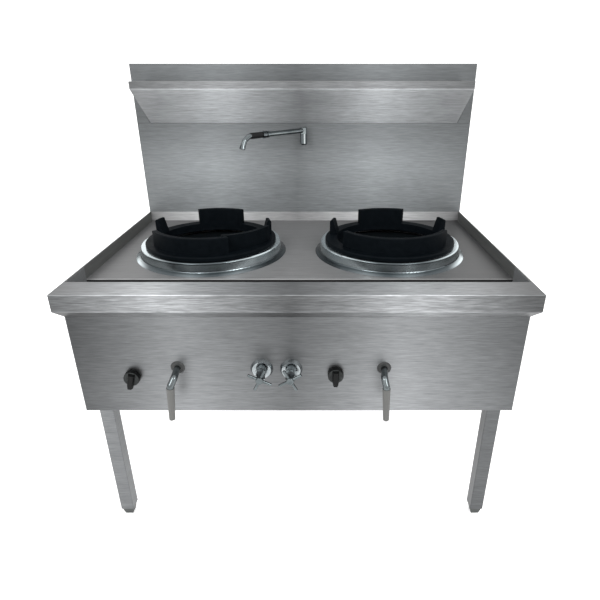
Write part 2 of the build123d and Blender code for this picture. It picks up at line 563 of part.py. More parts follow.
# ---------------------------------------------------------------- burners
for side, x, walls, rear_angle, side_angles in zip(
    SIDES, BURNER_X, WALL_ANGLES, REAR_LUG_ANGLES, SIDE_LUG_ANGLES
):
    centre = Plane((x, BURNER_Y, 0), x_dir=(1, 0, 0), z_dir=(0, -1, 0))

    with BuildPart() as collar:
        # polished pressed collar: flared foot, upright wall, rolled rim, inner ledge with a short lip
        with BuildSketch(centre) as section:
            with BuildLine():
                FilletPolyline(
                    (COLLAR_FOOT_R, DECK_Z), (COLLAR_TOP_R + 3, DECK_Z + COLLAR_FLARE_H),
                    (COLLAR_TOP_R, RING_Z), (COLLAR_BORE_R, RING_Z), (COLLAR_BORE_R, RING_Z - 10),
                    radius=4,
                )
                offset(amount=COLLAR_T, side=Side.LEFT)
            make_face()
        revolve(axis=Axis((x, BURNER_Y, 0), (0, 0, 1)))
        rod_z(x, BURNER_Y, DECK_Z - 10, DECK_Z, 2 * COLLAR_FOOT_R, mode=Mode.SUBTRACT)
    save(collar, f"collar_{side}")

    with BuildPart() as wok_ring:
        # cast ring: flange with a spigot, a wind wall at the front, one lug behind and two at the sides
        turned_profile(centre, [
            (RING_MOUTH_R, RING_Z - RING_SPIGOT_H), (COLLAR_BORE_R - RING_PLAY, RING_Z - RING_SPIGOT_H),
            (COLLAR_BORE_R - RING_PLAY, RING_Z), (RING_FLANGE_R, RING_Z),
            (RING_FLANGE_R, RING_Z + RING_FLANGE_T - 3), (RING_FLANGE_R - 3, RING_Z + RING_FLANGE_T),
            (RING_MOUTH_R, RING_Z + RING_FLANGE_T),
        ])
        base_z = RING_Z + RING_FLANGE_T
        rise = RING_TOP_Z - base_z
        lug_plane = Plane((x, BURNER_Y, base_z))
        for start, end in (walls, (rear_angle - REAR_LUG_HALF_ANGLE, rear_angle + REAR_LUG_HALF_ANGLE)):
            middle = (start + end) / 2
            with BuildSketch(lug_plane) as segment:
                with BuildLine():
                    outer = [polar(RING_WALL_R, a) for a in (start, middle, end)]
                    inner = [polar(RING_MOUTH_R, a) for a in (end, middle, start)]
                    ThreePointArc(*outer)
                    Line(outer[2], inner[0])
                    ThreePointArc(*inner)
                    Line(inner[2], outer[0])
                make_face()
            extrude(segment.sketch, amount=rise)
        fillet(wok_ring.edges().group_by(Axis.Z)[-1], RING_EDGE_R)
        for angle in side_angles:
            inner_r = SIDE_LUG_R - SIDE_LUG_BASE_T
            lug_x, lug_y = polar(1, angle)
            side_on = Plane(
                origin=(x - lug_y * SIDE_LUG_L / 2, BURNER_Y + lug_x * SIDE_LUG_L / 2, base_z),
                x_dir=(lug_x, lug_y, 0), z_dir=(lug_y, -lug_x, 0),
            )
            with BuildSketch(side_on) as lug_outline:
                with BuildLine():
                    Polyline(
                        (inner_r, 0), (SIDE_LUG_R, 0), (SIDE_LUG_R, SIDE_LUG_H - 4),
                        (SIDE_LUG_R - 4, SIDE_LUG_H), (SIDE_LUG_R - SIDE_LUG_TOP_T, SIDE_LUG_H),
                        close=True,
                    )
                make_face()
            extrude(lug_outline.sketch, amount=SIDE_LUG_L)
        lug_top = base_z + SIDE_LUG_H
        fillet(wok_ring.edges().filter_by_position(Axis.Z, lug_top - 0.1, lug_top + 0.1), RING_EDGE_R)
        if side == "left":
            start, end = SCROLL_ANGLES
            spiral = [
                (SCROLL_START_R + (SCROLL_END_R - SCROLL_START_R) * k / 2, start + (end - start) * k / 2)
                for k in range(3)
            ]
            with BuildSketch(Plane((x, BURNER_Y, RING_Z))) as scroll:
                with BuildLine():
                    outer = [polar(r, a) for r, a in spiral]
                    inner = [polar(r - SCROLL_T, a) for r, a in spiral][::-1]
                    ThreePointArc(*outer)
                    Line(outer[2], inner[0])
                    ThreePointArc(*inner)
                    Line(inner[2], outer[0])
                make_face()
            extrude(scroll.sketch, amount=RING_H - RING_EDGE_R)
    save(wok_ring, f"wok_ring_{side}")

    with BuildPart() as fire_pit:
        # steel pit hanging under the deck, with a cone down to the throat
        pit_flange_r = DECK_HOLE_R + 7
        cone_top = PIT_TOP_Z - PIT_T - PIT_STRAIGHT_H
        inner_r = PIT_R - PIT_T
        turned_profile(centre, [
            (pit_flange_r, PIT_TOP_Z), (pit_flange_r, PIT_TOP_Z - PIT_T), (PIT_R, PIT_TOP_Z - PIT_T),
            (PIT_R, cone_top), (PIT_THROAT_R + PIT_T, THROAT_Z),
            (PIT_THROAT_R + PIT_FLANGE_W, THROAT_Z), (PIT_THROAT_R + PIT_FLANGE_W, HANGER_Z),
            (PIT_THROAT_R, HANGER_Z), (PIT_THROAT_R, THROAT_Z + PIT_T / 2),
            (inner_r, cone_top + PIT_T / 2), (inner_r, PIT_TOP_Z),
        ])
    save(fire_pit, f"fire_pit_{side}")

    with BuildPart() as burner_head:
        # cast head with two rings of ports, its riser and the mixing tube below
        tube_y0 = BURNER_Y - MIX_TUBE_L
        rod_z(x, BURNER_Y, HEAD_Z, HEAD_Z + HEAD_H, HEAD_R)
        rod_z(x, BURNER_Y, MIX_TUBE_Z, HEAD_Z, MIX_TUBE_R)
        rod_z(x, BURNER_Y, HANGER_Z, HANGER_Z + 6, SHOULDER_R)
        rod_y(x, MIX_TUBE_Z, tube_y0, BURNER_Y + MIX_TUBE_R, MIX_TUBE_R)
        rod_y(x, MIX_TUBE_Z, tube_y0, tube_y0 + 12, MIX_TUBE_R + 8)
        rod_z(x, BURNER_Y, HEAD_Z + 6, HEAD_Z + HEAD_H - 6, HEAD_R - 6, mode=Mode.SUBTRACT)
        rod_z(x, BURNER_Y, MIX_TUBE_Z, HEAD_Z + 8, MIX_TUBE_BORE_R, mode=Mode.SUBTRACT)
        rod_y(x, MIX_TUBE_Z, tube_y0, BURNER_Y, MIX_TUBE_BORE_R, mode=Mode.SUBTRACT)
        for count, ring_r in ((12, HEAD_R * 0.45), (20, HEAD_R * 0.75)):
            with BuildSketch(Plane((x, BURNER_Y, HEAD_Z + HEAD_H - 7))) as ports:
                with PolarLocations(ring_r, count):
                    Circle(PORT_R)
            extrude(ports.sketch, amount=8, mode=Mode.SUBTRACT)
    save(burner_head, f"burner_head_{side}")

with BuildPart() as burner_hangers:
    hanger_half = PIT_THROAT_R + PIT_FLANGE_W
    for x in BURNER_X:
        block(x - hanger_half, x + hanger_half, BURNER_Y - HANGER_W / 2, BURNER_Y + HANGER_W / 2,
              HANGER_Z - HANGER_T, HANGER_Z)
        rod_z(x, BURNER_Y, HANGER_Z - HANGER_T, HANGER_Z, MIX_TUBE_R + FREE_GAP, mode=Mode.SUBTRACT)
        for end_x in (x - hanger_half, x + hanger_half - HANGER_W):
            block(end_x, end_x + HANGER_W, BURNER_Y - HANGER_W, BURNER_Y + HANGER_W,
                  HANGER_Z - HANGER_T, HANGER_Z)
save(burner_hangers, "burner_hangers")

with BuildPart() as pilot_burners:
    for x in BURNER_X:
        px = x + PILOT_OFFSET
        block(px - 9, px + 9, BURNER_Y - 9, BURNER_Y + 9, HANGER_Z, HANGER_Z + 3)
        rod_z(px, BURNER_Y, HANGER_Z, HANGER_Z + PILOT_H, PILOT_R)
        rod_z(px, BURNER_Y, HANGER_Z + PILOT_H - 14, HANGER_Z + PILOT_H, PILOT_R + 2.5)
save(pilot_burners, "pilot_burners")

# ---------------------------------------------------------------- gas
with BuildPart() as gas_manifold:
    # cross pipe with a branch up to each safety valve, then back and down to the supply end
    x0, x1 = MANIFOLD_END
    bent_pipe([
        (x0, MANIFOLD_Y, MANIFOLD_Z), (x1, MANIFOLD_Y, MANIFOLD_Z),
        (x1, SERVICE_Y, MANIFOLD_Z), (x1, SERVICE_Y, SERVICE_Z),
    ], MANIFOLD_R, 3 * MANIFOLD_R)
    for x, z in KNOB_SPOTS:
        rod_z(x, MANIFOLD_Y, MANIFOLD_Z, z - VALVE_BLOCK / 2, GAS_PIPE_R + 3)
save(gas_manifold, "gas_manifold")

with BuildPart() as safety_valves:
    for x, z in KNOB_SPOTS:
        block(x - VALVE_BLOCK / 2, x + VALVE_BLOCK / 2, PANEL_BACK_Y, PANEL_BACK_Y + VALVE_L,
              z - VALVE_BLOCK / 2, z + VALVE_BLOCK / 2)
        bore_l = STEM_L - KNOB_GAP - SHEET - KNOB_T / 2 + KNOB_TRAVEL + 4
        rod_y(x, z, PANEL_BACK_Y, PANEL_BACK_Y + bore_l, STEM_R + RUNNING_FIT, mode=Mode.SUBTRACT)
save(safety_valves, "safety_valves")

with BuildPart() as lever_valves:
    for x, z in LEVER_SPOTS:
        block(x - LEVER_VALVE_W / 2, x + LEVER_VALVE_W / 2, PANEL_BACK_Y, PANEL_BACK_Y + LEVER_VALVE_L,
              z - LEVER_VALVE_W / 2, z + LEVER_VALVE_W / 2)
        rod_y(x, z, PANEL_BACK_Y, PANEL_BACK_Y + LEVER_SPINDLE_L + 4, LEVER_SPINDLE_R + RUNNING_FIT,
              mode=Mode.SUBTRACT)
save(lever_valves, "lever_valves")

INJECTOR_Y = BURNER_Y - MIX_TUBE_L - INJECTOR_GAP - INJECTOR_L
with BuildPart() as gas_pipes:
    # link from each safety valve to its lever valve, then the feed down to the injector
    for (kx, kz), (lx, lz), bx in zip(KNOB_SPOTS, LEVER_SPOTS, BURNER_X):
        link_z = (kz + lz) / 2
        link_y = PANEL_BACK_Y + LEVER_VALVE_L / 2 + 10
        rod_x(link_y, link_z, kx + VALVE_BLOCK / 2, lx - LEVER_VALVE_W / 2, GAS_PIPE_R)
        feed_y0 = PANEL_BACK_Y + LEVER_VALVE_L
        bent_pipe([
            (lx, feed_y0, lz), (lx, feed_y0 + FEED_STRAIGHT, lz),
            (bx, INJECTOR_Y - FEED_STRAIGHT, MIX_TUBE_Z), (bx, INJECTOR_Y, MIX_TUBE_Z),
        ], GAS_PIPE_R, 18)
save(gas_pipes, "gas_pipes")

with BuildPart() as injectors:
    for x in BURNER_X:
        rod_y(x, MIX_TUBE_Z, INJECTOR_Y, INJECTOR_Y + INJECTOR_L, INJECTOR_R)
        with BuildSketch(Plane((x, INJECTOR_Y, MIX_TUBE_Z), x_dir=(1, 0, 0), z_dir=(0, 1, 0))) as hexagon:
            RegularPolygon(INJECTOR_R + 3, 6)
        extrude(hexagon.sketch, amount=INJECTOR_L / 2)
        rod_y(x, MIX_TUBE_Z, INJECTOR_Y + INJECTOR_L - 12, INJECTOR_Y + INJECTOR_L, 1.4, mode=Mode.SUBTRACT)
save(injectors, "injectors")

# ---------------------------------------------------------------- gas controls
for side, (x, z), turn in zip(SIDES, KNOB_SPOTS, KNOB_TURN):
    knob_back = PANEL_Y - KNOB_GAP

    with BuildPart() as valve_stem:
        stem_y0 = knob_back - KNOB_T / 2
        rod_y(x, z, stem_y0, stem_y0 + STEM_L, STEM_R)
    save(valve_stem, f"valve_stem_{side}")

    with BuildPart() as knob:
        # round knob with a raised pointer bar that runs past its edge
        front = Plane((x, knob_back, z), x_dir=(cos(radians(turn)), 0, sin(radians(turn))), z_dir=(0, -1, 0))
        with BuildSketch(front) as disc:
            Circle(KNOB_R)
        extrude(disc.sketch, amount=KNOB_T, taper=3)
        fillet(knob.edges().group_by(Axis.Y)[0], 2)
        pointer_outline = [
            (-POINTER_W / 2, KNOB_R * 0.85), (-POINTER_W / 2, -KNOB_R * 0.7),
            (-POINTER_TIP_W / 2, -POINTER_REACH), (POINTER_TIP_W / 2, -POINTER_REACH),
            (POINTER_W / 2, -KNOB_R * 0.7), (POINTER_W / 2, KNOB_R * 0.85),
        ]
        for start, length, taper in ((KNOB_T * 0.45, KNOB_T * 0.55, 0), (KNOB_T, POINTER_H, 18)):
            with BuildSketch(front.offset(start)) as pointer:
                with BuildLine():
                    Polyline(*pointer_outline, close=True)
                make_face()
            extrude(pointer.sketch, amount=length, taper=taper)
        rod_y(x, z, stem_y0, knob_back, STEM_R + RUNNING_FIT, mode=Mode.SUBTRACT)
    save(knob, f"knob_{side}")

for side, (x, z), leans in zip(SIDES, LEVER_SPOTS, LEVER_LEAN):
    elbow, knee, tip = (
        (x + lean, PANEL_Y - out, z - drop)
        for lean, out, drop in zip(leans, (*LEVER_OUT, LEVER_OUT[1]), (0, *LEVER_DROP))
    )
    arm_down = (Vector(*tip) - Vector(*knee)).normalized()
    arm_length = (Vector(*tip) - Vector(*knee)).length
    sleeve_l = arm_length - SLEEVE_START
    down = Plane(Vector(*knee) + arm_down * SLEEVE_START, x_dir=(0, 1, 0), z_dir=arm_down)

    with BuildPart() as knee_lever:
        # spindle, then a bar that comes out of the panel, bends forward and down, and a thinner core
        rod_y(x, z, PANEL_Y - 2, PANEL_BACK_Y + LEVER_SPINDLE_L, LEVER_SPINDLE_R)
        bent_pipe([
            (x, PANEL_Y + 0.5, z), (x, PANEL_Y - LEVER_STRAIGHT, z), elbow, knee, tuple(down.origin),
        ], LEVER_R, LEVER_BEND_R)
        with BuildSketch(down, mode=Mode.PRIVATE) as core:
            Circle(LEVER_CORE_R)
        extrude(core.sketch, amount=sleeve_l - SLEEVE_FLOOR)
    save(knee_lever, f"knee_lever_{side}")

    with BuildPart() as lever_sleeve:
        # moulded sleeve pushed on the core, tapering to a closed, rounded end
        with BuildSketch(down) as upper:
            Circle(SLEEVE_TOP_R)
        with BuildSketch(down.offset(sleeve_l)) as lower:
            Circle(SLEEVE_TIP_R)
        loft([upper.sketch, lower.sketch])
        fillet(lever_sleeve.edges().sort_by(Axis.Z)[0], 2)
        with BuildSketch(down) as bore:
            Circle(LEVER_CORE_R)
        extrude(bore.sketch, amount=sleeve_l - SLEEVE_FLOOR, mode=Mode.SUBTRACT)
    save(lever_sleeve, f"lever_sleeve_{side}")

with BuildPart() as lever_escutcheons:
    for x, z in LEVER_SPOTS:
        with BuildSketch(Plane((x, PANEL_Y, z), x_dir=(1, 0, 0), z_dir=(0, -1, 0))) as rose:
            Circle(ESCUTCHEON_R)
        extrude(rose.sketch, amount=ESCUTCHEON_T, taper=35)
        rod_y(x, z, PANEL_Y - ESCUTCHEON_T, PANEL_Y, LEVER_R + FREE_GAP, mode=Mode.SUBTRACT)
save(lever_escutcheons, "lever_escutcheons")

# ---------------------------------------------------------------- water
TAP_SPINDLE_END = PANEL_Y + 6
with BuildPart() as tap_flanges:
    # domed wall flange with the bonnet that carries the handle's spindle
    for x, z in TAP_SPOTS:
        with BuildSketch(Plane((x, PANEL_Y, z), x_dir=(1, 0, 0), z_dir=(0, -1, 0))) as rose:
            Circle(TAP_FLANGE_R)
        extrude(rose.sketch, amount=TAP_FLANGE_T, taper=30)
        rod_y(x, z, PANEL_Y - BONNET_L, PANEL_BACK_Y, BONNET_R)
        rod_y(x, z, PANEL_Y - BONNET_L * 0.62, PANEL_Y - BONNET_L * 0.45, BONNET_R + 3)
        rod_y(x, z, PANEL_Y - BONNET_L, TAP_SPINDLE_END, TAP_SPINDLE_R + RUNNING_FIT, mode=Mode.SUBTRACT)
save(tap_flanges, "tap_flanges")

with BuildPart() as tap_bodies:
    for x, z in TAP_SPOTS:
        rod_y(x, z, PANEL_BACK_Y, PANEL_BACK_Y + TAP_BODY_L, TAP_BODY_R)
        rod_z(x, WATER_Y, z - TAP_BOSS_L, z + TAP_BOSS_L, TAP_BOSS_R)
        rod_y(x, z, PANEL_BACK_Y, TAP_SPINDLE_END + 2, TAP_SPINDLE_R + RUNNING_FIT, mode=Mode.SUBTRACT)
save(tap_bodies, "tap_bodies")

for side, (x, z), turn in zip(SIDES, TAP_SPOTS, TAP_TURN):
    with BuildPart() as tap_handle:
        # cross handle on its spindle
        hub_back = PANEL_Y - BONNET_L - FREE_GAP
        hub_front = PANEL_Y - HANDLE_PLANE - HANDLE_ARM_R - 3
        rod_y(x, z, hub_front, hub_back, HANDLE_HUB_R)
        fillet(tap_handle.edges().group_by(Axis.Y)[0], 2.5)
        rod_y(x, z, hub_back, TAP_SPINDLE_END, TAP_SPINDLE_R)
        for k in range(4):
            angle = radians(turn + 90 * k)
            arm = Plane((x, PANEL_Y - HANDLE_PLANE, z), x_dir=(0, 1, 0), z_dir=(cos(angle), 0, sin(angle)))
            with BuildSketch(arm) as root:
                Circle(HANDLE_ARM_R)
            extrude(root.sketch, amount=HANDLE_REACH, taper=1)
        rounds = tap_handle.edges().filter_by(GeomType.CIRCLE)
        fillet(rounds.sort_by(lambda e: hypot(e.center().X - x, e.center().Z - z))[-4:], 1.5)
    save(tap_handle, f"tap_handle_{side}")

with BuildPart() as water_pipes:
    # two supplies from below, and the joined outlet up to the spout
    for x, z in TAP_SPOTS:
        bent_pipe([
            (x, WATER_Y, z - TAP_BOSS_L), (x, WATER_Y, SUPPLY_Z),
            (x, SERVICE_Y, SUPPLY_Z), (x, SERVICE_Y, SERVICE_Z),
        ], WATER_R, 3 * WATER_R)
        rod_z(x, WATER_Y, z + TAP_BOSS_L, MIXER_Z, WATER_R)
    rod_x(WATER_Y, MIXER_Z, TAP_SPOTS[0][0] - MIXER_R, MIXER_R, MIXER_R)
    bent_pipe([
        (0, WATER_Y, MIXER_Z), (0, RISE_Y, MIXER_Z), (0, RISE_Y, STUB_Z), (0, SPLASH_Y + STUB_END, STUB_Z),
    ], WATER_R, 2 * WATER_R)
save(water_pipes, "water_pipes")

with BuildPart() as spout_riser:
    # upright with a rounded foot, a stub through the splashback and its flange
    rod_z(0, SPOUT_Y, SPOUT_BASE_Z, SPOUT_JOINT_Z, SPOUT_BODY_R)
    fillet(spout_riser.edges().group_by(Axis.Z)[0], 6)
    rod_y(0, STUB_Z, SPOUT_Y, SPLASH_Y + STUB_END, STUB_R)
    rod_y(0, STUB_Z, SPLASH_Y - 5, SPLASH_Y, STUB_FLANGE_R)
    rod_z(0, SPOUT_Y, SPOUT_JOINT_Z - SPOUT_PIN_L - 2, SPOUT_JOINT_Z, SPOUT_PIN_R + RUNNING_FIT,
          mode=Mode.SUBTRACT)
save(spout_riser, "spout_riser")

ARM_DIR = (-sin(radians(SPOUT_SWING)), -cos(radians(SPOUT_SWING)), 0)


def along_arm(run, drop=0):
    return (ARM_DIR[0] * run, SPOUT_Y + ARM_DIR[1] * run, SPOUT_ARM_Z - drop)


def arm_rod(start, length, radius, mode=Mode.ADD):
    with BuildSketch(Plane(along_arm(start), z_dir=ARM_DIR), mode=Mode.PRIVATE) as disc:
        Circle(radius)
    extrude(disc.sketch, amount=length, mode=mode)


GRIP_START = ARM_NUT_START + ARM_NUT_L
with BuildPart() as spout_arm:
    # swivel cap with its pin, the level arm and the nut near its end
    cap_z0 = SPOUT_JOINT_Z + FREE_GAP
    rod_z(0, SPOUT_Y, cap_z0, SPOUT_TOP_Z, SPOUT_BODY_R)
    fillet(spout_arm.edges().group_by(Axis.Z)[-1], 2)
    rod_z(0, SPOUT_Y, SPOUT_JOINT_Z - SPOUT_PIN_L, cap_z0, SPOUT_PIN_R)
    arm_rod(0, GRIP_START, SPOUT_ARM_R)
    arm_rod(ARM_NUT_START, ARM_NUT_L, SPOUT_BODY_R)
    arm_rod(ARM_NUT_START - 14, 8, SPOUT_BODY_R - 1.2)
    arm_rod(GRIP_START, GRIP_L, SPOUT_PIN_R)
save(spout_arm, "spout_arm")

with BuildPart() as spout_grip:
    # ribbed grip around the arm's core
    rib = GRIP_L / GRIP_RIBS
    arm_rod(GRIP_START, GRIP_L, GRIP_R - 0.8)
    for i in range(GRIP_RIBS):
        arm_rod(GRIP_START + (i + 0.25) * rib, rib / 2, GRIP_R)
    arm_rod(GRIP_START, GRIP_L, SPOUT_PIN_R, mode=Mode.SUBTRACT)
save(spout_grip, "spout_grip")

NOZZLE_START = GRIP_START + GRIP_L
with BuildPart() as spout_nozzle:
    # short curve down to a slotted, spreading tip
    route = [Vector(*along_arm(NOZZLE_START + run, drop)) for run, drop in ((0, 0), *NOZZLE_BENDS)]
    bent_pipe(route, NOZZLE_R, 10)
    tip = Plane(route[-1], x_dir=Vector(*ARM_DIR).cross(Vector(0, 0, 1)), z_dir=route[-1] - route[-2])
    with BuildSketch(tip.offset(-12)) as neck:
        Circle(NOZZLE_R)
    with BuildSketch(tip.offset(3)) as mouth:
        Ellipse(NOZZLE_R + 2, NOZZLE_R)
    loft([neck.sketch, mouth.sketch])
    with BuildSketch(tip.offset(-9)) as slot:
        Rectangle(NOZZLE_SLOT, 3 * NOZZLE_R)
    extrude(slot.sketch, amount=14, mode=Mode.SUBTRACT)
save(spout_nozzle, "spout_nozzle")

# ---------------------------------------------------------------- gutter waste
with BuildPart() as waste_outlet:
    centre = Plane((OUTLET_X, OUTLET_Y, 0), x_dir=(1, 0, 0), z_dir=(0, -1, 0))
    flange_z = GUTTER_Z - SHEET
    turned_profile(centre, [
        (OUTLET_R, flange_z), (OUTLET_R + OUTLET_LIP, flange_z), (OUTLET_R + OUTLET_LIP, flange_z - 3),
        (OUTLET_R + SHEET, flange_z - 3), (OUTLET_R + SHEET, flange_z - OUTLET_L),
        (OUTLET_R, flange_z - OUTLET_L),
    ])
save(waste_outlet, "waste_outlet")

with BuildPart() as gutter_strainer:
    # lift-out cup with drain holes
    cup_r = OUTLET_R - 1
    turned_profile(centre, [
        (0, GUTTER_Z - STRAINER_DEPTH), (cup_r, GUTTER_Z - STRAINER_DEPTH), (cup_r, GUTTER_Z),
        (OUTLET_R + 8, GUTTER_Z), (OUTLET_R + 8, GUTTER_Z + SHEET), (cup_r - SHEET, GUTTER_Z + SHEET),
        (cup_r - SHEET, GUTTER_Z - STRAINER_DEPTH + SHEET), (0, GUTTER_Z - STRAINER_DEPTH + SHEET),
    ])
    for count, ring_r in ((6, cup_r * 0.35), (12, cup_r * 0.7)):
        with BuildSketch(Plane((OUTLET_X, OUTLET_Y, GUTTER_Z - STRAINER_DEPTH))) as drains:
            with PolarLocations(ring_r, count):
                Circle(2)
        extrude(drains.sketch, amount=SHEET, mode=Mode.SUBTRACT)
save(gutter_strainer, "gutter_strainer")
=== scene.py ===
import bpy
from math import radians
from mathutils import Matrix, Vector


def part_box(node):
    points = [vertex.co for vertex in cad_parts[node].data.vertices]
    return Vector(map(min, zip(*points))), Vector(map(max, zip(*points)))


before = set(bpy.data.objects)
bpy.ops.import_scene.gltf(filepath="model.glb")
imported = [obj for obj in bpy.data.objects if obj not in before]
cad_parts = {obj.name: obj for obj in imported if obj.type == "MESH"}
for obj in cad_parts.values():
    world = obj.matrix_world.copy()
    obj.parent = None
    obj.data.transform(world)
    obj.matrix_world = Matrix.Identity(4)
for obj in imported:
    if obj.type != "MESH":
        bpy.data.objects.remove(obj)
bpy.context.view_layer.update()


# Front fascia: stainless sheet, brushed along its length. One piece makes the level strip,
# the apron and the slanted return under it, and is welded to the side rims at its ends.
class Shade:
    """A shader socket: an expression on it adds Math nodes, and add() makes any other node."""

    def __init__(self, tree, socket=None):
        self.tree = tree
        self.socket = socket

    def add(self, kind, settings=None, inputs=None, out=0):
        node = self.tree.nodes.new(kind)
        for name, value in (settings or {}).items():
            setattr(node, name, value)
        for name, value in (inputs or {}).items():
            if isinstance(value, Shade):
                self.tree.links.new(value.socket, node.inputs[name])
            else:
                node.inputs[name].default_value = value
        return Shade(self.tree, node.outputs[out])

    def maths(self, operation, *values):
        return self.add("ShaderNodeMath", {"operation": operation}, dict(enumerate(values)))

    def __add__(self, other):
        return self.maths("ADD", self, other)

    def __radd__(self, other):
        return self.maths("ADD", other, self)

    def __sub__(self, other):
        return self.maths("SUBTRACT", self, other)

    def __rsub__(self, other):
        return self.maths("SUBTRACT", other, self)

    def __mul__(self, other):
        return self.maths("MULTIPLY", self, other)

    def __rmul__(self, other):
        return self.maths("MULTIPLY", other, self)

    def __truediv__(self, other):
        return self.maths("DIVIDE", self, other)

    def __rtruediv__(self, other):
        return self.maths("DIVIDE", other, self)

    def __pow__(self, other):
        return self.maths("POWER", self, other)

    def __rpow__(self, other):
        return self.maths("POWER", other, self)

    def place(self):
        """Where the point lies in the range's own frame, in metres."""
        return self.add("ShaderNodeTexCoord", out=3)

    def axis(self, name):
        return self.add("ShaderNodeSeparateXYZ", inputs={0: self}, out="XYZ".index(name))

    def grain(self, per_metre, detail=2.0, rough=0.5):
        """Noise from 0 to 1 about 0.5, with its count of grains to the metre along each axis."""
        scaled = self.add("ShaderNodeVectorMath", {"operation": "MULTIPLY"}, {0: self, 1: per_metre})
        return scaled.add(
            "ShaderNodeTexNoise", {"noise_dimensions": "3D"},
            {"Vector": scaled, "Scale": 1.0, "Detail": detail, "Roughness": rough},
        )

    def between(self, low, high, to_low=0.0, to_high=1.0):
        """Goes smoothly from to_low at low to to_high at high, and no further."""
        return self.add(
            "ShaderNodeMapRange", {"clamp": True, "interpolation_type": "SMOOTHSTEP"},
            {0: self, 1: low, 2: high, 3: to_low, 4: to_high},
        )

    def near(self, spots, reach):
        """Close to 1 at each spot, with a soft peak, falling evenly to 0 at reach from it."""
        softness = 0.12 * reach
        peak = 1.06
        level = None
        for spot in spots:
            away = ((self - spot) ** 2.0 + softness ** 2.0) ** 0.5
            one = self.maths("MAXIMUM", peak - away / reach, 0.0)
            level = one if level is None else self.maths("MAXIMUM", level, one)
        return level

    def tinted(self, dark, light):
        return self.add(
            "ShaderNodeMix", {"data_type": "RGBA", "clamp_factor": True},
            {0: self, 6: (*dark, 1.0), 7: (*light, 1.0)}, out=2,
        )


def finish_of(name, rough, metallic, bump=0.0, **constants):
    """New material; gives the material, a first Shade and a painter for its shader."""
    material = bpy.data.materials.new(name)
    material.use_nodes = True
    tree = material.node_tree
    shader = tree.nodes["Principled BSDF"]
    shader.inputs["Metallic"].default_value = metallic
    shader.inputs["Roughness"].default_value = rough
    for socket, value in constants.items():
        shader.inputs[socket.replace("_", " ")].default_value = value

    def paint(colour, roughness=None, height=None, depth=0.0002):
        tree.links.new(colour.socket, shader.inputs["Base Color"])
        if roughness is not None:
            tree.links.new(roughness.socket, shader.inputs["Roughness"])
        if height is not None:
            raised = height.add(
                "ShaderNodeBump", inputs={"Strength": bump, "Distance": depth, "Height": height}
            )
            tree.links.new(raised.socket, shader.inputs["Normal"])

    return material, Shade(tree), paint


LONG_STREAKS = 24               # to the metre, along the brushing
HAIR_STREAKS = 400              # to the metre, across it
SCREEN_GAMMA = 2.2              # tones are given as they look on a screen
# The weak middle band is a painted band of light too.
BETWEEN_BANDS = -0.02           # where the weak middle band of light stands, in x


def brushed(name, level, gain=0.0, lean=0.0, along="X", streak=0.14, rough=0.4, metallic=1.0,
            tint=(0.945, 0.975, 1.0), spots=(-0.30, 0.265), reach=0.32, shape=None):
    """Stainless sheet: hair-fine streaks along one axis and soft painted bands of light across it.
    level is its tone between the bands, gain what the painted light bands add, lean what each metre
    of x adds."""
    material, shade, paint = finish_of(name, rough, metallic, bump=0.05)
    place = shade.place()
    across = {
        "X": (LONG_STREAKS, HAIR_STREAKS, HAIR_STREAKS),
        "Y": (HAIR_STREAKS, LONG_STREAKS, HAIR_STREAKS),
        "level": (LONG_STREAKS, LONG_STREAKS, HAIR_STREAKS),
    }[along]
    hair = place.grain(across, 3.0, 0.6)
    broad = place.grain(tuple(0.3 * count for count in across))
    waver = 0.03 * (place.grain((2, 2, 11)) - 0.5)
    x = place.axis("X") + waver
    bands = x.near(spots, reach) + 0.1 * x.near((BETWEEN_BANDS,), 0.16)
    tone = level + gain * bands + lean * x
    if shape is not None:
        tone = shape(place, bands, tone)
    tone = tone * (1.0 + streak * (3.0 * hair + broad - 2.0))
    paint((tone ** SCREEN_GAMMA).tinted((0, 0, 0), tint), rough + 0.16 * (hair - 0.5), hair)
    return material


def dress(material, *nodes):
    """Gives CAD nodes the finish."""
    for node in nodes:
        mesh = bpy.data.objects[node].data
        if not mesh.materials:
            mesh.materials.append(material)
        for i in range(len(mesh.materials)):
            mesh.materials[i] = material


RETURN_DROP = 0.021
fascia_low, fascia_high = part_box("front_fascia")
apron_foot = fascia_low.z + RETURN_DROP


def fascia_tone(place, bands, tone):
    """Painted light: the level strip takes more of the light bands, the slanted return less of them,
    and the two edges where the apron is bent have a painted line of light."""
    x = place.axis("X")
    height = place.axis("Z")
    strip = height.between(fascia_high.z - 0.0025, fascia_high.z - 0.0005)
    slant = height.between(apron_foot - 0.003, apron_foot + 0.0015, 1.0, 0.0)
    front = place.axis("Y").between(fascia_low.y + 0.0009, fascia_low.y + 0.0029, 1.0, 0.0)
    bend_highlights = strip * front + height.near((apron_foot + 0.0005,), 0.003)
    middle = x.near((BETWEEN_BANDS,), 0.2)
    strip_gain = 0.085 * bands + 0.07 * middle + 0.03
    slant_gain = 0.05 * bands + 0.16 * x - 0.01
    return tone - 0.02 * middle + strip * strip_gain + slant * slant_gain + 0.08 * bend_highlights


dress(brushed("fascia_steel", 0.272, gain=0.285, lean=-0.015, streak=0.3, metallic=0.6,
              spots=(-0.325, 0.285), reach=0.28, shape=fascia_tone), "front_fascia")


# Gutter: a stepped trough of satin stainless sheet, welded between the fascia and the deck.
# A loose perforated strainer sits over its waste outlet, at the right.
dress(brushed("gutter_steel", 0.42, rough=0.45, metallic=0.3), "gutter_trough")
dress(brushed("waste_steel", 0.5, rough=0.3), "gutter_strainer", "waste_outlet")


# Deck: one satin stainless sheet, sunk below the rims, with a folded front edge and two
# burner openings. It is turned up at the back, where it meets the splashback.
deck_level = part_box("collar_left")[0].z
deck_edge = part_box("deck_plate")[0].y


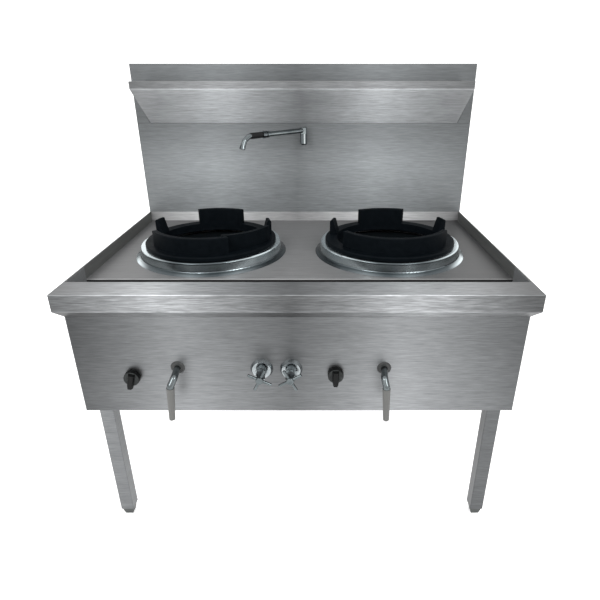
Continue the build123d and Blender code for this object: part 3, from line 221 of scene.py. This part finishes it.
def deck_tone(place, bands, tone):
    """Painted light and shade: the upstand takes the light bands, and the flat is painted darker to
    the right and lighter in the middle. The folded edge has a painted highlight over a painted dark
    line of shade."""
    x = place.axis("X")
    depth = place.axis("Y")
    height = place.axis("Z")
    upstand = height.between(deck_level + 0.001, deck_level + 0.005)
    fold_highlight = (depth.between(deck_edge + 0.0022, deck_edge + 0.0032, 1.0, 0.0)
            * height.between(deck_level - 0.0055, deck_level - 0.004))
    flat = 0.318 - 0.08 * x + 0.091 * x.near((0.0,), 0.3) - 0.018 * x.between(0.25, 0.45)
    flat = (flat + 0.24 * fold_highlight) * depth.between(deck_edge + 0.0002, deck_edge + 0.0008, 0.3, 1.0)
    return (1.0 - upstand) * flat + upstand * tone


dress(brushed("deck_steel", 0.425, gain=0.40, lean=0.02, rough=0.5, metallic=0.1,
              tint=(0.98, 0.99, 1.0), spots=(-0.34, 0.28), shape=deck_tone), "deck_plate")


# Side rims: stainless sheet folded double along both sides of the deck. They are brushed
# from front to back and welded to the fascia at the corners.
dress(brushed("rim_steel", 0.34, along="Y", rough=0.45, metallic=0.3, tint=(0.98, 1.0, 0.97)),
      "side_rims")


# Panels: flanged stainless sheets that close the body, brushed level. The front one has
# holes for the controls; the rear one is held by screws.
panel_low, panel_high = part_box("front_panel")


def panel_tone(place, bands, tone):
    """A little lighter towards its bottom edge."""
    return tone + place.axis("Z").between(panel_low.z + 0.003, panel_high.z - 0.013, 0.05, 0.0)


dress(brushed("panel_steel", 0.275, gain=0.19, lean=0.055, reach=0.3, shape=panel_tone),
      "front_panel")
dress(brushed("side_steel", 0.42, along="Y"), "side_panel_left", "side_panel_right")
dress(brushed("rear_steel", 0.43), "rear_panel")
dress(brushed("screw_steel", 0.5, streak=0.05, rough=0.3), "rear_panel_screws")


# Splashback: a hollow casing of brushed stainless sheet behind a separate front skin. The
# water pipe to the spout runs up inside it.
shelf_low, shelf_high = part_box("pot_shelf")
splash_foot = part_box("splash_front")[0].z


def splash_tone(place, bands, tone):
    """Painted light: lighter near the deck, taking more of the light bands there, with a painted
    shadow line under the pot shelf.
    """
    height = place.axis("Z")
    lower = height.between(splash_foot + 0.15, shelf_low.z + 0.005, 1.0, 0.0)
    shelf_shadow = height.near((shelf_low.z - 0.001,), 0.002)
    return tone + lower * (0.08 + 0.07 * bands) - 0.06 * shelf_shadow


dress(brushed("splash_steel", 0.310, gain=0.145, lean=0.01, metallic=0.5, rough=0.5,
              tint=(0.91, 0.97, 1.0), spots=(-0.31, 0.26), shape=splash_tone), "splash_front")
dress(brushed("casing_steel", 0.42), "splash_casing")


# Pot shelf: one stainless sheet bent into a level top, a lip and a slanted underside, with
# an end plate welded in at each side. It hangs on the splashback's front.
LIP_HEIGHT = 0.022
lip_foot = shelf_high.z - LIP_HEIGHT


def shelf_tone(place, bands, tone):
    """Painted light: the slanted underside is painted lighter than the top and the lip, most so at
    its foot and a little in the middle, and where it is bent to the lip it has a painted highlight."""
    height = place.axis("Z")
    upper = height.between(lip_foot - 0.001, lip_foot + 0.001)
    foot = height.between(shelf_low.z + 0.005, shelf_low.z + 0.095, 1.0, 0.0)
    bend_highlight = height.near((lip_foot - 0.001,), 0.004)
    middle = place.axis("X").near((-0.05,), 0.35)
    tone = tone - upper * (0.155 + 0.25 * bands) + foot * (0.10 - 0.07 * bands)
    return tone + 0.15 * bend_highlight + 0.02 * middle


dress(brushed("shelf_steel", 0.455, gain=0.42, streak=0.22, metallic=0.3, rough=0.45,
              spots=(-0.265, 0.255), reach=0.27, shape=shelf_tone), "pot_shelf")
dress(brushed("shelf_end_steel", 0.42, along="Y"), "shelf_ends")


# Legs and frame: square stainless tube, ground across its length. Legs, rails and deck
# bearers are welded together, and each leg has a threaded insert in its lower end.
dress(brushed("leg_steel", 0.39, lean=-0.07, along="level", streak=0.16),
      "leg_front_left", "leg_front_right", "leg_rear_left", "leg_rear_right")
dress(brushed("cross_rail_steel", 0.42), "cross_rails", "deck_bearers", "leg_inserts")
dress(brushed("side_rail_steel", 0.42, along="Y"), "side_rails")


# Feet: dark grey moulded feet, square and narrower at the floor. Each turns on a threaded
# stud in the end of its leg, to level the range.
def close_grained(name, dark, light, per_metre=60, rough=0.5, metallic=0.0, bump=0.15,
                  shape=None, **constants):
    """Cast, moulded, plated or painted piece: two close tones and a fine grain."""
    material, shade, paint = finish_of(name, rough, metallic, bump, **constants)
    place = shade.place()
    fine = place.grain((per_metre,) * 3, 4.0, 0.6)
    wide = place.grain((0.15 * per_metre,) * 3)
    tone = 0.5 + 1.4 * (wide - 0.5) + 0.6 * (fine - 0.5)
    if shape is not None:
        tone = shape(place, tone)
    roughness = rough + 0.2 * (wide - 0.5) + 0.1 * (fine - 0.5)
    paint(tone.tinted(dark, light), roughness, fine, depth=0.0003)
    return material


dress(close_grained("foot_grey", (0.015, 0.018, 0.0175), (0.026, 0.03, 0.029), rough=0.55),
      "foot_front_left", "foot_front_right", "foot_rear_left", "foot_rear_right")


# Burner collars: pressed stainless rings with a rolled rim and a flared foot, polished and
# set over the openings of the deck.
FLARE_HEIGHT = 0.007
GLINT_REACH = 0.05
for side, outward, glints in (("left", -1.0, (-0.02, 0.11)), ("right", 1.0, (-0.09, 0.03))):
    collar_low, collar_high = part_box("collar_" + side)
    middle_x = (collar_low.x + collar_high.x) / 2
    flare_top = collar_low.z + FLARE_HEIGHT

    def collar_tone(place, tone):
        """Painted light: a rolled rim lighter at its sides, a grey wall with painted soft glints,
        the foot painted light only at its outer side, and painted shade where the wall meets the
        foot.
        """
        height = place.axis("Z")
        across = place.axis("X") - middle_x
        away = across.maths("ABSOLUTE", across)
        rim = height.between(collar_high.z - 0.008, collar_high.z - 0.004)
        flare = height.between(flare_top - 0.001, flare_top + 0.0025, 1.0, 0.0)
        joint_shade = height.near((flare_top + 0.0005,), 0.005)
        glint_light = across.near(glints, GLINT_REACH)
        wall_tone = 0.52 + 0.35 * glint_light + 0.2 * (tone - 0.5)
        rim_tone = 0.08 + 0.6 * away.between(0.06, 0.20)
        flare_tone = 0.06 + 0.7 * (outward * across).between(0.15, 0.21) + 0.12 * glint_light
        upper = (1.0 - rim) * wall_tone + rim * rim_tone
        return ((1.0 - flare) * upper + flare * flare_tone) * (1.0 - 0.8 * joint_shade)

    dress(close_grained("collar_polish_and_painted_light_" + side, (0.018, 0.025, 0.029), (0.79, 0.88, 0.91),
                        per_metre=40, rough=0.24, metallic=1.0, bump=0.02, shape=collar_tone),
          "collar_" + side)


# Wok rings: loose black iron castings with a wind wall and lugs. Each drops into its collar
# by a spigot and lifts off.
dress(close_grained("cast_iron", (0.0013, 0.0022, 0.0031), (0.003, 0.0045, 0.006),
                    per_metre=400, bump=0.3, Specular_IOR_Level=0.03),
      "wok_ring_left", "wok_ring_right")


# Fire pits and burners: heat-blackened steel cones under the collars. Cast burner heads and
# their pilots stand in them on flat steel hangers.
dress(close_grained("pit_black", (0.004, 0.006, 0.0075), (0.007, 0.01, 0.012), per_metre=120,
                    rough=0.7, Specular_IOR_Level=0.05),
      "fire_pit_left", "fire_pit_right")
dress(close_grained("head_iron", (0.004, 0.006, 0.0075), (0.008, 0.011, 0.013), per_metre=200,
                    rough=0.6, Specular_IOR_Level=0.1),
      "burner_head_left", "burner_head_right", "burner_hangers", "pilot_burners")


# Gas and tap brass: a manifold and pipes of grey painted steel, behind the front panel. The
# valves, stems, jets and tap bodies on them are turned brass.
dress(close_grained("pipe_paint", (0.06, 0.06, 0.065), (0.11, 0.11, 0.115), rough=0.45),
      "gas_manifold", "gas_pipes")
dress(close_grained("valve_brass", (0.42, 0.30, 0.12), (0.55, 0.41, 0.18), rough=0.3, metallic=1.0),
      "safety_valves", "lever_valves", "injectors", "valve_stem_left", "valve_stem_right",
      "tap_bodies")


# Knobs: black moulded knobs with a raised pointer bar, pushed on the valve stems in front
# of the panel.
POINTER_HEIGHT = 0.009
knob_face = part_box("knob_left")[0].y + POINTER_HEIGHT


def knob_tone(place, tone):
    """The face is a greyer black than the sides and the pointer."""
    return tone * place.axis("Y").near((knob_face,), 0.0015)


dress(close_grained("knob_black", (0.002, 0.0022, 0.0022), (0.03, 0.033, 0.033), per_metre=300,
                    rough=0.38, bump=0.05, shape=knob_tone, Specular_IOR_Level=0.12),
      "knob_left", "knob_right")


# Knee levers: a bent plated steel bar through a dark pressed disc on the panel, with a
# moulded grey sleeve pushed on its end.
dress(close_grained("disc_dark", (0.015, 0.016, 0.016), (0.045, 0.046, 0.046), rough=0.35,
                    Specular_IOR_Level=0.3),
      "lever_escutcheons")
dress(close_grained("lever_plate", (0.045, 0.052, 0.055), (0.17, 0.19, 0.195), per_metre=90,
                    rough=0.2, metallic=1.0, bump=0.02),
      "knee_lever_left", "knee_lever_right")
dress(close_grained("sleeve_grey", (0.053, 0.054, 0.051), (0.078, 0.078, 0.074)),
      "lever_sleeve_left", "lever_sleeve_right")


# Taps, spout and water pipes: chromed brass. The cross handles turn on the taps' bonnets,
# the arm swings on its upright, and its grip is ribbed black rubber.
dress(close_grained("tap_chrome", (0.12, 0.135, 0.14), (0.36, 0.39, 0.40), per_metre=300,
                    rough=0.18, metallic=1.0, bump=0.02),
      "tap_flanges", "water_pipes")
dress(close_grained("handle_chrome", (0.035, 0.042, 0.045), (0.15, 0.17, 0.175), per_metre=160,
                    rough=0.2, metallic=1.0, bump=0.02),
      "tap_handle_left", "tap_handle_right")
dress(close_grained("spout_chrome", (0.07, 0.08, 0.085), (0.26, 0.29, 0.295), per_metre=110,
                    rough=0.12, metallic=1.0, bump=0.02),
      "spout_arm", "spout_nozzle")
PAINTED_LIGHT_LINE_X = 0.003


def riser_tone(place, tone):
    """A painted line of light stands a little to the right of the middle of the upright."""
    return 0.05 * tone + 0.6 * place.axis("X").near((PAINTED_LIGHT_LINE_X,), 0.003)


dress(close_grained("riser_chrome_and_painted_line", (0.06, 0.07, 0.075), (0.75, 0.8, 0.8), rough=0.15,
                    metallic=1.0, bump=0.02, shape=riser_tone),
      "spout_riser")
dress(close_grained("grip_black", (0.003, 0.0035, 0.0035), (0.01, 0.01, 0.011), rough=0.6,
                    Specular_IOR_Level=0.2),
      "spout_grip")


# Floor and light: a wide pale floor under an even white sky. Two soft square lamps stand in
# front of the range, one at each side.
bpy.ops.mesh.primitive_plane_add(size=40, location=(0, 0, 0))
floor = bpy.context.object
floor.name = "floor"
floor_white, floor_shade, paint_floor = finish_of(
    "floor_white", 0.8, 0.0, Emission_Color=(1, 1, 1, 1), Emission_Strength=0.4
)
paint_floor(floor_shade.place().grain((2, 2, 2)).tinted((0.94, 0.94, 0.94), (0.96, 0.96, 0.96)))
floor.data.materials.append(floor_white)

sky = bpy.data.worlds.new("sky")
bpy.context.scene.world = sky
sky.use_nodes = True
sky.node_tree.nodes["Background"].inputs["Color"].default_value = (1, 1, 1, 1)
sky.node_tree.nodes["Background"].inputs["Strength"].default_value = 1.5

LAMP_SIZE = 1.0
LAMP_WATTS = 30
for side, outward in (("left", -1), ("right", 1)):
    place = Vector((1.5 * outward, -2.2, 2.4))
    aim = Vector((0.2 * outward, 0, 0.7))
    light = bpy.data.lights.new("lamp_" + side, "AREA")
    light.shape = "SQUARE"
    light.size = LAMP_SIZE
    light.energy = LAMP_WATTS
    lamp = bpy.data.objects.new("lamp_" + side, light)
    bpy.context.scene.collection.objects.link(lamp)
    lamp.location = place
    lamp.rotation_euler = (aim - place).to_track_quat("-Z", "Y").to_euler()


# Camera: in front of the range and a little above it, looking down at the deck. Its place,
# tilt and lens come from fitting the range's straight edges.
camera = bpy.data.objects.new("camera", bpy.data.cameras.new("camera"))
bpy.context.scene.collection.objects.link(camera)
camera.location = (0.0512, -1.4934, 1.2801)
camera.rotation_euler = (radians(65.56), 0, 0)
camera.data.lens = 29.62
camera.data.shift_x = -0.03
bpy.context.scene.camera = camera
bpy.context.scene.view_settings.view_transform = "Standard"
